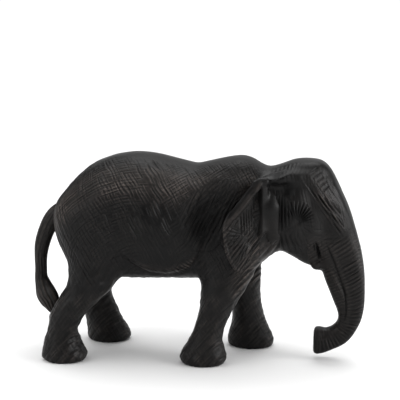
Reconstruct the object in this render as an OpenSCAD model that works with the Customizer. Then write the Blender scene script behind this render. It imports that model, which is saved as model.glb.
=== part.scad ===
// Carved wooden elephant, walking, head low and trunk curled back.
// Glued-up carving: a torso block, a head block, four legs, a trunk, two ears
// and a tail, held by turned wooden dowels at flat glue faces.
// Units mm. +X is the way it faces, +Y its left side, +Z up, z = 0 the floor.

/* [Body] */
// Half width of the belly at its widest
belly_half_width = 41; // [36:0.5:44]
// Fullness of the body sections (2 = ellipse, higher = boxier)
body_fullness = 2.25; // [2:0.05:3]
// Height of the highest point of the back
back_height = 155.5; // [145:0.5:165]

/* [Joints] */
// Height of the glue face between the legs and the torso
leg_joint_z = 57; // [52:0.5:60]
// Distance of the neck glue face from the middle of the animal
neck_joint_x = 47; // [44:0.5:52]
// Height of the glue face between the head and the trunk
trunk_joint_z = 70; // [66:0.5:80]
// Clearance round every dowel in its hole
dowel_clearance = 0.1; // [0.05:0.05:0.3]

/* [Dowels] */
// Diameter of the two neck dowels
neck_dowel_d = 10; // [8:0.5:12]
// Length of the two neck dowels
neck_dowel_len = 36; // [28:1:40]
// Diameter of the four leg dowels
leg_dowel_d = 8; // [6:0.5:10]
// Length of the four leg dowels
leg_dowel_len = 24; // [18:1:28]
// Diameter of the trunk dowel
trunk_dowel_d = 8; // [6:0.5:10]
// Length of the trunk dowel
trunk_dowel_len = 28; // [20:1:32]
// Diameter of the ear dowels
ear_dowel_d = 5; // [4:0.5:6]
// Length of the ear dowels
ear_dowel_len = 11.5; // [9:0.5:12]
// Diameter of the round tenon turned on the root of the tail
tail_tenon_d = 7; // [5:0.5:8]
// Length of the tail tenon
tail_tenon_len = 13; // [8:0.5:16]

/* [Ears] */
// Thickness of an ear at its middle
ear_thickness = 5.6; // [4:0.2:8]
// How far the outer edge of an ear stands out from the middle plane
ear_spread = 41; // [39:0.5:43]

/* [Hidden] */
mid_x = 2.4;
ring_n = 28;
limb_n = 20;
hole = 2 * dowel_clearance;
neck_dowel_z = [98, 126];
ear_pin = [55.5, 117];
rr_pin = [-82, -27.4];
rl_pin = [-83.4, 27.2];
fr_pin = [18.2, -20.8];
fl_pin = [31.4, 21.4];
trunk_pin_x = 108.5;
tail_root = [-103.5, 0, 114.5];
tail_dip = 22;
back_k = back_height / 155.5;
belly_k = belly_half_width / 41;

// ---- curves -------------------------------------------------------------
function cr(a, b, c, d, t) =
    0.5 * (2 * b + (c - a) * t + (2 * a - 5 * b + 4 * c - d) * t * t
           + (3 * b - a - 3 * c + d) * t * t * t);
function fine(T, n) = [
    for (i = [0 : len(T) - 2]) for (k = [0 : n - 1])
        cr(T[max(i - 1, 0)], T[i], T[i + 1], T[min(i + 2, len(T) - 1)], k / n),
    T[len(T) - 1]];
function sp(c, e) = sign(c) * pow(abs(c), e);

// Closed skin over equal rings, flat at both ends.
module skin(R) {
    n = len(R[0]);
    m = len(R);
    polyhedron(
        points = [for (r = R) each r],
        faces = concat(
            [[for (i = [0 : n - 1]) i]],
            [for (j = [0 : m - 2]) for (i = [0 : n - 1])
                [j * n + i, (j + 1) * n + i, (j + 1) * n + (i + 1) % n]],
            [for (j = [0 : m - 2]) for (i = [0 : n - 1])
                [j * n + i, (j + 1) * n + (i + 1) % n, j * n + (i + 1) % n]],
            [[for (i = [n - 1 : -1 : 0]) (m - 1) * n + i]]),
        convexity = 6);
}

// Section across X: [x, top, bottom, half width, height of the widest line]
function ring_x(s, n, e) = [
    for (i = [0 : n - 1]) let (t = 360 * i / n, c = sp(cos(t), e), q = sp(sin(t), e))
        [s[0], s[3] * c, s[4] + (q > 0 ? s[1] - s[4] : s[4] - s[2]) * q]];
// Section across Z: [z, x, y, half length, half width]
function ring_z(s, n) = [
    for (i = [0 : n - 1]) let (t = 360 * i / n)
        [s[1] + s[3] * cos(t), s[2] + s[4] * sin(t), s[0]]];
// Section across a bent line in the XZ plane: [x, z, y, half depth, half width]
function ring_p(T, j, n, e) =
    let (a = T[max(j - 1, 0)], b = T[min(j + 1, len(T) - 1)], s = T[j],
         dx = b[0] - a[0], dz = b[1] - a[1], l = norm([dx, dz]),
         nx = -dz / l, nz = dx / l)
    [for (i = [0 : n - 1]) let (t = 360 * i / n, c = sp(cos(t), e), q = sp(sin(t), e))
        [s[0] + s[3] * c * nx, s[2] - s[4] * q, s[1] + s[3] * c * nz]];

// ---- whole shapes, before they are cut at the glue faces ------------------
BODY = [
    [-111.6, 110, 98, 6, 104], [-110, 116.5, 90, 14, 104], [-106, 122.5, 80, 22, 102],
    [-99, 131, 71, 29.5, 100], [-90, 140, 65, 35, 99], [-80, 146.8, 62, 38.2, 99],
    [-70, 151.2, 60.8, 40, 99], [-58, 154.3, 60.4, 40.8, 99], [-46, 155.5, 60.4, 41, 100],
    [-33, 154.2, 60.8, 41, 101], [-19, 151.3, 61.2, 40.2, 102], [-2, 147.6, 61.4, 38.4, 103],
    [9, 150.6, 62, 37, 104], [20, 153.6, 63, 34.4, 105], [30, 155, 66, 31.4, 107],
    [40, 152.6, 70.5, 28.4, 110], [50, 148, 79, 26, 113], [60, 146.6, 86, 24, 115]];
HEAD = [
    [36, 141, 86, 22, 114], [44, 145.5, 84, 24.5, 114], [52, 147.2, 84.5, 25.6, 116],
    [60, 149.4, 84.5, 26.2, 119], [68, 152.3, 83, 26.4, 121], [76, 153.6, 81, 26, 122],
    [84, 153.4, 79.5, 23.6, 121], [91, 151.8, 79, 20, 118], [96, 147.6, 80, 16.2, 115],
    [100.4, 140.6, 82, 12.6, 112], [104, 131, 86, 8, 108]];
JAW = [
    [66, 94, 84, 9, 13], [72, 89, 80.5, 10, 13], [78, 86, 0, 10.5, 12.4],
    [83, 82, 0, 10.4, 11.6], [87.4, 78, 0, 8.6, 9.6], [90.2, 75, 0, 5, 6]];
FACE = [
    [85, 137, 0, 13, 16], [88.6, 128, 0, 16.4, 17.4], [92, 119, 0, 17.2, 17.4],
    [95.4, 110, 0, 17.6, 16.6], [99, 100, 0, 17, 15.6], [102.6, 90, 0, 16.2, 14.4],
    [105.7, 80, 0, 15.2, 13], [108.3, 70, 0, 14.6, 11.8], [110.9, 60, 0, 13.6, 10.8],
    [113, 50, 0, 11.8, 9.8], [114.3, 41, 0, 9.9, 9], [113.8, 32.5, 0, 8.7, 8.4],
    [110.8, 25, 0, 8.1, 8], [105.4, 19.4, 0, 8, 7.8], [99, 16, 0, 8.5, 7.8],
    [93.2, 14.4, 0, 10, 8.4], [89, 14.2, 0, 9.8, 8.4], [87.2, 14.2, 0, 7.6, 6.4]];
REAR_R = [
    [0, -100.5, -27, 14.4, 12.8], [1.2, -100.5, -27, 15.8, 14.2], [4.5, -100.6, -27, 16.6, 15],
    [10, -101, -27, 15, 13.8], [16, -101.4, -27.2, 12.9, 12.5], [24, -101, -27.5, 11.3, 12],
    [35, -97.2, -27.8, 12.7, 12.5], [45, -89.6, -27.8, 14.8, 13.2], [52, -84.2, -27.6, 16.2, 13.7],
    [58, -79.8, -27.3, 17.6, 14.2], [67, -76.6, -26.4, 19.4, 15], [79, -74.4, -25, 23.6, 15.8],
    [93, -73.4, -23.4, 29, 16.4], [107, -73, -21.6, 31.6, 16.6], [120, -72, -19.2, 28, 15],
    [131, -70, -16, 18, 11], [137, -69, -13, 6, 5]];
REAR_L = [
    [0, -77.4, 27, 14.8, 12.8], [1.2, -77.4, 27, 16.2, 14.2], [4.5, -77.4, 27, 17, 15],
    [10, -77.9, 27, 15.4, 13.8], [16, -78.9, 27.2, 13.4, 12.5], [24, -80.8, 27.5, 12.6, 12],
    [35, -85, 27.8, 12, 12.5], [45, -86.4, 27.8, 12.4, 13.2], [52, -84.2, 27.6, 13.4, 13.7],
    [58, -81.4, 27.3, 16, 14.2], [67, -77.6, 26.4, 19, 15], [79, -74.4, 25, 23.6, 15.8],
    [93, -73.4, 23.4, 29, 16.4], [107, -73, 21.6, 31.6, 16.6], [120, -72, 19.2, 28, 15],
    [131, -70, 16, 18, 11], [137, -69, 13, 6, 5]];
FRONT_R = [
    [0, 5.2, -21.4, 14.8, 11.8], [1.2, 5.2, -21.4, 16.2, 13], [4.5, 5.2, -21.4, 17, 13.6],
    [10, 5.6, -21.3, 15.4, 12.8], [17, 6.9, -21.2, 12.8, 11.8], [24, 8.4, -21.1, 11.2, 11.4],
    [33, 11.2, -21, 10.7, 11.5], [43, 14.4, -21, 11.9, 12.1], [51, 17.4, -21, 13.7, 12.7],
    [58, 20.4, -20.9, 15.8, 13.3], [67, 22.6, -20.2, 18.4, 13.4], [79, 24.8, -19, 21, 13.4],
    [92, 25.2, -18.2, 21.4, 13.6], [105, 25, -17.2, 20, 13.4], [117, 25, -15.4, 15.6, 12],
    [126, 25, -13, 8, 8]];
FRONT_L = [
    [0, 36.8, 26, 14.6, 11.4], [1.2, 36.8, 26, 16, 12.4], [4.5, 36.8, 26, 16.8, 13],
    [10, 36.5, 25.8, 15.4, 12.4], [17, 35.9, 25.2, 12.8, 11.6], [24, 35.3, 24.4, 11.3, 11.2],
    [33, 34.2, 23.2, 10.5, 11.3], [43, 32.8, 22.2, 10.8, 11.9], [51, 31.6, 21.5, 11.8, 12.6],
    [58, 30.4, 20.9, 13.2, 13.3], [67, 28, 20.2, 16.2, 13.4], [79, 26, 19, 20.2, 13.4],
    [92, 25.2, 18.2, 21.4, 13.6], [105, 25, 17.2, 20, 13.4], [117, 25, 15.4, 15.6, 12],
    [126, 25, 13, 8, 8]];
TAIL = [
    [-108.6, 112.6, 0, 3.6, 3.6], [-111.6, 111.1, 0, 4.2, 4.2], [-114.6, 106.4, 0, 4.6, 4.5],
    [-118.2, 99.6, 0, 4.9, 4.7], [-121.4, 91, 0, 5, 4.8], [-123.8, 81.5, 0, 4.8, 4.6],
    [-124.9, 72, 0, 4.5, 4.4], [-124.8, 63, -0.4, 4.3, 4.2], [-123.6, 55, -1.2, 4.6, 4.3],
    [-121.6, 48, -2.6, 5.8, 5], [-119.2, 41.6, -4.6, 6.8, 5.4], [-116.4, 36.2, -7.4, 6, 4.8],
    [-113, 32.4, -10.8, 3.9, 3.6], [-109.8, 30.4, -14, 2.2, 2.2]];
// Ear: [z, front x, front y, back x, back y, thickness factor]
EAR = [
    [142.4, 50, 25, 47, 26, 0.5], [140.5, 54.4, 24.8, 43, 28.4, 0.8],
    [135, 57.4, 24.6, 38.4, 31.2, 1], [127, 59.2, 24.8, 32.4, 34.6, 1],
    [118, 60, 25, 25.6, 37.8, 1], [108, 60, 25, 21.6, 40.4, 1],
    [101, 57.5, 25.4, 22, 41, 1], [96, 50, 28.8, 22.6, 40.8, 1],
    [91, 44, 31.6, 23.6, 40.4, 1], [86, 41, 33, 25.2, 39.4, 0.95],
    [81, 38.8, 34, 27.6, 38.2, 0.9], [76.4, 37, 34.8, 30.6, 37, 0.7],
    [73.6, 35.4, 35.2, 32.6, 36, 0.4]];

module body_shape() skin([for (s = fine(BODY, 2))
    ring_x([s[0], s[1] * back_k, s[2], s[3] * belly_k, s[4]], ring_n, 2 / body_fullness)]);
module head_shape() skin([for (s = fine(HEAD, 2)) ring_x(s, ring_n, 2 / 2.15)]);
module jaw_shape() let (T = fine([for (s = JAW) [s[0], s[1], 0, s[3], s[4]]], 2))
    skin([for (j = [0 : len(T) - 1]) ring_p(T, j, limb_n, 1)]);
module face_shape() let (T = fine(FACE, 2))
    skin([for (j = [0 : len(T) - 1]) ring_p(T, j, ring_n, 2 / 2.3)]);
module limb(T) skin([for (s = fine(T, 2)) ring_z(s, limb_n)]);
module tail_shape() let (T = fine(TAIL, 2))
    skin([for (j = [0 : len(T) - 1]) ring_p(T, j, 14, 1)]);
// Ear plate: flat sections running from the cheek out and back; side = -1 right, 1 left.
module ear_shape(side) skin([
    for (s = fine(EAR, 2))
        let (k = ear_spread / 41, a = [s[1], s[2]], b = [s[3], s[4] * k], m = (a + b) / 2,
             d = b - a, h = norm(d) / 2, u = d / (2 * h), v = [-u[1], u[0]],
             w = ear_thickness * s[5] / 2)
        [for (i = [0 : 19]) let (t = -360 * i / 20 * side,
             p = m + u * h * sp(cos(t), 0.75) + v * w * sp(sin(t), 0.8))
            [p[0], side * p[1], s[0]]]]);
// Block behind the ear root that is let into a flat seat in the side of the head.
module ear_root(side) translate([51.5, side > 0 ? 21.4 : -25.4, 98]) cube([8.5, 4, 38]);
// Flat-bottomed seat that takes the ear root.
module ear_seat(side) translate([50.8, side > 0 ? 21.4 : -61.4, 90]) cube([11.6, 40, 52]);
module ear_solid(side) { ear_shape(side); ear_root(side); }

module above(z) translate([-200, -100, z]) cube([400, 200, 200]);
module below(z) translate([-200, -100, z - 200]) cube([400, 200, 200]);
module dowel_z(p, z, l, d) translate([p[0], p[1], z - l / 2]) cylinder(d = d, h = l, $fn = 40);
module dowel_x(x, z, l, d) translate([x - l / 2, 0, z]) rotate([0, 90, 0]) cylinder(d = d, h = l, $fn = 40);
module ear_dowel(side, l, d) translate([ear_pin[0], side * 20.2, ear_pin[1]])
    rotate([90, 0, 0]) cylinder(d = d, h = l, center = true, $fn = 32);
module tail_tenon(l, d) translate([tail_root[0], 0, tail_root[2]])
    rotate([0, 90 + tail_dip, 180]) translate([0, 0, -2]) cylinder(d = d, h = l, $fn = 32);

// ---- the pieces -----------------------------------------------------------
module torso() color("#1c1a19") translate([mid_x, 0, 0]) difference() {
    resize([0, 0, 0]) intersection() {
        union() {
            body_shape();
            limb(REAR_R);
            limb(REAR_L);
            limb(FRONT_R);
            limb(FRONT_L);
        }
        above(leg_joint_z);
        translate([neck_joint_x - 300, -100, -10]) cube([300, 200, 300]);
    }
    for (z = neck_dowel_z) dowel_x(neck_joint_x, z, neck_dowel_len + 1, neck_dowel_d + hole);
    for (p = [rr_pin, rl_pin, fr_pin, fl_pin]) dowel_z(p, leg_joint_z, leg_dowel_len + 1, leg_dowel_d + hole);
    tail_tenon(tail_tenon_len + 5, tail_tenon_d + hole);
}
module head() color("#1c1a19") translate([mid_x, 0, 0]) difference() {
    resize([0, 0, 0]) difference() {
        union() {
            intersection() {
                union() {
                    head_shape();
                    jaw_shape();
                }
                translate([neck_joint_x, -100, -10]) cube([300, 200, 300]);
            }
            intersection() {
                face_shape();
                above(trunk_joint_z);
            }
        }
        ear_seat(1);
        ear_seat(-1);
    }
    for (z = neck_dowel_z) dowel_x(neck_joint_x, z, neck_dowel_len + 1, neck_dowel_d + hole);
    dowel_z([trunk_pin_x, 0], trunk_joint_z, trunk_dowel_len + 1, trunk_dowel_d + hole);
    for (s = [-1, 1]) ear_dowel(s, ear_dowel_len + 0.6, ear_dowel_d + hole);
}
module trunk() color("#1c1a19") translate([mid_x, 0, 0]) difference() {
    resize([0, 0, 0]) intersection() {
        face_shape();
        below(trunk_joint_z);
    }
    dowel_z([trunk_pin_x, 0], trunk_joint_z, trunk_dowel_len + 1, trunk_dowel_d + hole);
}
module ear(side) color("#1c1a19") translate([mid_x, 0, 0]) difference() {
    resize([0, 0, 0]) union() ear_solid(side);
    ear_dowel(side, ear_dowel_len + 0.6, ear_dowel_d + hole);
}
module ear_left() ear(1);
module ear_right() ear(-1);
module leg(T, p) color("#1c1a19") translate([mid_x, 0, 0]) difference() {
    resize([0, 0, 0]) intersection() {
        limb(T);
        below(leg_joint_z);
    }
    dowel_z(p, leg_joint_z, leg_dowel_len + 1, leg_dowel_d + hole);
}
module front_left_leg() leg(FRONT_L, fl_pin);
module front_right_leg() leg(FRONT_R, fr_pin);
module rear_left_leg() leg(REAR_L, rl_pin);
module rear_right_leg() leg(REAR_R, rr_pin);
module tail() color("#1c1a19") translate([mid_x, 0, 0]) {
    resize([0, 0, 0]) difference() {
        tail_shape();
        body_shape();
        limb(REAR_R);
    }
    tail_tenon(tail_tenon_len, tail_tenon_d);
}
module neck_dowels() color("#b08a5a") translate([mid_x, 0, 0])
    for (z = neck_dowel_z) dowel_x(neck_joint_x, z, neck_dowel_len, neck_dowel_d);
module leg_dowels() color("#b08a5a") translate([mid_x, 0, 0])
    for (p = [rr_pin, rl_pin, fr_pin, fl_pin]) dowel_z(p, leg_joint_z, leg_dowel_len, leg_dowel_d);
module trunk_dowel() color("#b08a5a") translate([mid_x, 0, 0])
    dowel_z([trunk_pin_x, 0], trunk_joint_z, trunk_dowel_len, trunk_dowel_d);
module ear_dowels() color("#b08a5a") translate([mid_x, 0, 0])
    for (s = [-1, 1]) ear_dowel(s, ear_dowel_len, ear_dowel_d);

torso();
head();
trunk();
ear_left();
ear_right();
front_left_leg();
front_right_leg();
rear_left_leg();
rear_right_leg();
tail();
neck_dowels();
leg_dowels();
trunk_dowel();
ear_dowels();
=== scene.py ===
# Carved wooden elephant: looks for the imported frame.
# One sculpted skin is grown from lofted sections as a distance field, tooled with
# gouge, rasp and knife marks as real relief, and parted at the glue faces of the
# wooden pieces, so each piece is its own closed solid.
import math

import bmesh
import bpy
import numpy as np
import openvdb as vdb
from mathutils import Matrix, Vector


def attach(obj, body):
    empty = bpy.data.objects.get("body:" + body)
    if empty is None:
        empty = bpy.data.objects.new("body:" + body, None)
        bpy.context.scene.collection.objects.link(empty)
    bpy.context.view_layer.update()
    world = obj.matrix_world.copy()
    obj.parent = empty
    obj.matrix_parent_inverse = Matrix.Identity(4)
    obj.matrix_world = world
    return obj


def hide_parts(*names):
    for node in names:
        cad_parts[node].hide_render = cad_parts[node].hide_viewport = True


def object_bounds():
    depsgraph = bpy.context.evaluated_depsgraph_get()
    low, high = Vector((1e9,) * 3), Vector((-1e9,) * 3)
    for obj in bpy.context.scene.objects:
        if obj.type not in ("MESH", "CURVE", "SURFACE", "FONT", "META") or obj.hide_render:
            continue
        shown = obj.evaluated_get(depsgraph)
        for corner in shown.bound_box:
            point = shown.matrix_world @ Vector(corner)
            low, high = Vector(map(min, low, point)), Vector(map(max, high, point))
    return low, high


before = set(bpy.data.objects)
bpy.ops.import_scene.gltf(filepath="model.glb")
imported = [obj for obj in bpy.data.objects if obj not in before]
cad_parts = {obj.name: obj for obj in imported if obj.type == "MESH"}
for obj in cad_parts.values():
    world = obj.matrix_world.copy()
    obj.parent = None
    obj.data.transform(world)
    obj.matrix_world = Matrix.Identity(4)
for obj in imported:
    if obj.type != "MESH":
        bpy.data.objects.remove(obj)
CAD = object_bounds()
MID = 2.4            # the drawing's own middle, mm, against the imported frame
LEG_Z, NECK_X, TRUNK_Z = 57.0, 47.0, 70.0

# ------------------------------------------------------------------ sections, mm
BODY = [
    [-111.4, 110, 99, 6, 105], [-109.6, 116.5, 92, 14, 104], [-105.4, 122.5, 82, 22, 102],
    [-98.6, 131, 72, 29.5, 100], [-90, 140, 65, 35, 99], [-80, 146.8, 62, 38.2, 99],
    [-70, 151.2, 60.8, 40, 99], [-58, 154.3, 60.4, 40.8, 99], [-46, 155.5, 60.4, 41, 100],
    [-33, 154.2, 60.8, 41, 101], [-19, 151.3, 61.2, 40.2, 102], [-2, 147.6, 61.4, 38.4, 103],
    [9, 150.6, 62, 37, 104], [20, 153.6, 63, 34.4, 105], [30, 155, 66, 31.4, 107],
    [40, 152.6, 69, 28.4, 110], [50, 148, 76.6, 26, 113], [60, 146.6, 84.6, 24, 115]]
HEAD = [
    [36, 141, 86, 22, 114], [44, 145.5, 84, 24.5, 114], [52, 147.2, 84.5, 25.4, 116],
    [60, 149.4, 84.5, 25.8, 119], [68, 152.3, 83, 25.8, 121], [76, 153.6, 81, 25, 122],
    [84, 153.4, 79.5, 22.6, 121], [91, 151.8, 79, 19.4, 118], [96, 147.6, 80, 16.2, 115],
    [100.4, 140.6, 82, 12.6, 112], [104, 131, 86, 8, 108]]
JAW = [
    [66, 94, 0, 8.6, 13], [72, 89.4, 0, 9.2, 12.8], [78, 86.4, 0, 9.9, 11.8],
    [83, 82.8, 0, 9.5, 10.4], [87.4, 79.6, 0, 7.9, 8.4], [91.6, 76.8, 0, 5.0, 5.8]]
FACE = [
    [85, 137, 0, 13, 16], [88.6, 128, 0, 16.4, 17.2], [92, 119, 0, 17.2, 17],
    [95.4, 110, 0, 17.6, 16], [99, 100, 0, 17, 15], [102.6, 90, 0, 16.2, 13.8],
    [105.7, 80, 0, 15.2, 12.6], [108.3, 70, 0, 14.6, 11.6], [110.9, 60, 0, 13.6, 10.7],
    [113, 50, 0, 11.8, 9.8], [114.3, 41, 0, 9.9, 9], [113.8, 32.5, 0, 8.7, 8.4],
    [110.8, 25, 0, 8.1, 8], [105.4, 19.4, 0, 8, 7.8], [99, 16, 0, 8.5, 7.8],
    [93.2, 14.5, 0, 10.2, 8.4], [88.6, 14.5, 0, 9.9, 8.2], [87, 14.5, 0, 7.4, 6.2]]
REAR_R = [
    [0, -100.1, -27, 14.8, 12.8], [1.2, -100.1, -27, 16.2, 14.2], [4.5, -100.2, -27, 17, 15],
    [10, -100.6, -27, 15.4, 13.8], [16, -101.1, -27.2, 13.2, 12.5], [24, -100.9, -27.5, 11.3, 12],
    [35, -97, -27.8, 12.9, 12.5], [45, -89.6, -27.8, 14.8, 13.2], [52, -84.2, -27.6, 16.2, 13.7],
    [58, -79.5, -27.3, 17.3, 14.2], [67, -76.2, -26.4, 19, 15], [79, -73.3, -25, 22.7, 15.8],
    [93, -72.2, -23.4, 28, 16.4], [107, -72.4, -21.6, 31, 16.6], [120, -72, -19.2, 28, 15],
    [131, -70, -16, 18, 11], [137, -69, -13, 6, 5]]
REAR_L = [
    [0, -77.4, 27, 14.8, 12.8], [1.2, -77.4, 27, 16.2, 14.2], [4.5, -77.4, 27, 17, 15],
    [10, -79, 27, 15.7, 13.8], [16, -81.3, 27.2, 14.3, 12.5], [24, -84.2, 27.5, 13.4, 12],
    [35, -88.0, 27.8, 12.5, 12.5], [45, -87.6, 27.8, 12.2, 13.2], [52, -85.6, 27.6, 13, 13.7],
    [58, -82.4, 27.3, 15.4, 14.2], [67, -77.6, 26.4, 19, 15], [79, -74.4, 25, 23.6, 15.8],
    [93, -73.4, 23.4, 29, 16.4], [107, -73, 21.6, 31.6, 16.6], [120, -72, 19.2, 28, 15],
    [131, -70, 16, 18, 11], [137, -69, 13, 6, 5]]
FRONT_R = [
    [0, 5.2, -21.4, 13.8, 11.2], [1.4, 5.2, -21.4, 15.6, 12.6], [4.5, 5.4, -21.4, 16.9, 13.6],
    [10, 5.9, -21.3, 15.4, 12.8], [17, 7.1, -21.2, 12.3, 11.8], [24, 9.0, -21.1, 10.9, 11.4],
    [33, 12.0, -21, 10.7, 11.5], [43, 15.4, -21, 12.0, 12.1], [51, 17.8, -21, 13.9, 12.7],
    [58, 20.4, -20.9, 15.8, 13.3], [67, 22.6, -20.2, 18.4, 13.4], [79, 24.8, -19, 21, 13.4],
    [92, 25.2, -18.2, 21.4, 13.6], [105, 25, -17.2, 20, 13.4], [117, 25, -15.4, 15.6, 12],
    [126, 25, -13, 8, 8]]
FRONT_L = [
    [0, 36.8, 26, 15, 11.4], [1.2, 36.8, 26, 16.4, 12.4], [4.5, 36.8, 26, 17.2, 13],
    [10, 36.4, 25.8, 15.9, 12.4], [17, 35.7, 25.2, 13.4, 11.6], [24, 34.9, 24.4, 11.7, 11.2],
    [33, 33.8, 23.2, 10.8, 11.3], [43, 32.6, 22.2, 11.0, 11.9], [51, 31.5, 21.5, 12.0, 12.6],
    [58, 30.4, 20.9, 13.6, 13.3], [67, 28, 20.2, 16.2, 13.4], [79, 26, 19, 20.2, 13.4],
    [92, 25.2, 18.2, 21.4, 13.6], [105, 25, 17.2, 20, 13.4], [117, 25, 15.4, 15.6, 12],
    [126, 25, 13, 8, 8]]
TAIL = [
    [-103, 112.6, 0, 3.8, 3.8], [-107.4, 110.6, 0, 5.0, 5.0], [-110.2, 108.4, 0, 5.6, 5.4],
    [-113.2, 104.5, 0, 6.4, 5.5], [-117.0, 98.2, 0, 6.5, 5.4], [-120.6, 90.2, 0, 6.2, 5.1],
    [-123.3, 81.3, 0, 5.8, 4.9], [-124.5, 72, 0, 5.0, 4.5], [-124.5, 63, -0.4, 4.7, 4.3],
    [-124.2, 56, -1.6, 5.1, 4.8], [-122.2, 50, -3.4, 6.8, 5.8], [-119.4, 44.6, -6.0, 8.2, 6.2],
    [-115.2, 39.4, -8.8, 7.6, 5.6], [-112.6, 34.6, -12.0, 4.4, 3.9], [-109.6, 30.6, -14.4, 2.2, 2.2]]
EAR = [
    [142.8, 50.4, 25.6, 46, 27, 0.5], [140.8, 52.4, 25, 43.6, 28.4, 0.85],
    [134, 53.2, 24.4, 38.2, 31, 1], [127, 53.4, 24, 33.2, 33.8, 1],
    [121, 53.4, 24, 28.4, 36, 1], [115, 53.4, 24, 23.8, 38, 1],
    [108.5, 53.2, 24.2, 22, 39.2, 1], [103, 52, 25.4, 22, 40, 1],
    [98, 48.4, 27.6, 22.6, 40.2, 1], [93, 44.8, 30, 23.2, 40.2, 1],
    [87.6, 41.6, 32, 24.6, 39.8, 1], [82.6, 39.6, 33.4, 26.8, 39, 0.9],
    [78, 37.6, 34.6, 29.2, 38, 0.75], [74.6, 34.8, 36, 31.6, 37, 0.45]]
# outline of back, forehead and trunk front in the middle plane
CREST = [
    (-113, 104), (-111.6, 111), (-108.3, 120), (-103.3, 126), (-99, 131.2), (-89.6, 140.4), (-80.4, 147.2),
    (-71.3, 151.2), (-62.1, 154.0), (-48.2, 155.6), (-34.4, 154.6), (-20.5, 151.8), (-9, 149.0), (-2.1, 147.9),
    (7.1, 149.9), (16.3, 152.2), (29.9, 154.3), (38.9, 152.5), (46, 148.7), (52.3, 146.7), (61.2, 149.0),
    (70, 152.2), (78.8, 153.3), (87.6, 152.7), (92, 151.1), (96.7, 147.2), (101.3, 140), (106.0, 129.6),
    (110.4, 120.2), (116.2, 103.9), (121.1, 87.2), (123.8, 70), (124.5, 56), (124.5, 46), (123.5, 37), (120.9, 28.2),
    (115.6, 18.6), (110.8, 13.2), (104, 9.6), (96, 6), (91, 4.4), (86, 4)]


def fine(T, n):
    T = np.asarray(T, float)
    out = []
    for i in range(len(T) - 1):
        a, b, c, d = T[max(i - 1, 0)], T[i], T[i + 1], T[min(i + 2, len(T) - 1)]
        for k in range(n):
            t = k / n
            out.append(0.5 * (2 * b + (c - a) * t + (2 * a - 5 * b + 4 * c - d) * t * t
                              + (3 * b - a - 3 * c + d) * t ** 3))
    out.append(T[-1])
    return np.array(out)


def sp(c, e):
    return np.sign(c) * np.abs(c) ** e


def ring_x(s, n, e):
    t = np.arange(n) * 2 * math.pi / n
    c, q = sp(np.cos(t), e), sp(np.sin(t), e)
    return np.stack([np.full(n, s[0]), s[3] * c,
                     s[4] + np.where(q > 0, s[1] - s[4], s[4] - s[2]) * q], 1)


def ring_z(s, n):
    t = np.arange(n) * 2 * math.pi / n
    return np.stack([s[1] + s[3] * np.cos(t), s[2] + s[4] * np.sin(t), np.full(n, s[0])], 1)


def ring_p(T, j, n, e):
    a, b, s = T[max(j - 1, 0)], T[min(j + 1, len(T) - 1)], T[j]
    d = np.array([b[0] - a[0], b[1] - a[1]])
    d /= np.linalg.norm(d)
    t = np.arange(n) * 2 * math.pi / n
    c, q = sp(np.cos(t), e), sp(np.sin(t), e)
    return np.stack([s[0] - s[3] * c * d[1], s[2] - s[4] * q, s[1] + s[3] * c * d[0]], 1)


def skin(rings):
    R = np.array(rings)
    m, n, _ = R.shape
    pts = np.concatenate([R.reshape(-1, 3), [R[0].mean(0)], [R[-1].mean(0)]])
    j, i = np.meshgrid(np.arange(m - 1), np.arange(n), indexing="ij")
    k = (i + 1) % n
    tri = np.concatenate([
        np.stack([j * n + i, (j + 1) * n + k, (j + 1) * n + i], -1).reshape(-1, 3),
        np.stack([j * n + i, j * n + k, (j + 1) * n + k], -1).reshape(-1, 3)])
    i = np.arange(n)
    k = (i + 1) % n
    caps = np.concatenate([np.stack([np.full(n, m * n), k, i], 1),
                           np.stack([np.full(n, m * n + 1), (m - 1) * n + i, (m - 1) * n + k], 1)])
    return pts, np.concatenate([tri, caps])


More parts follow.
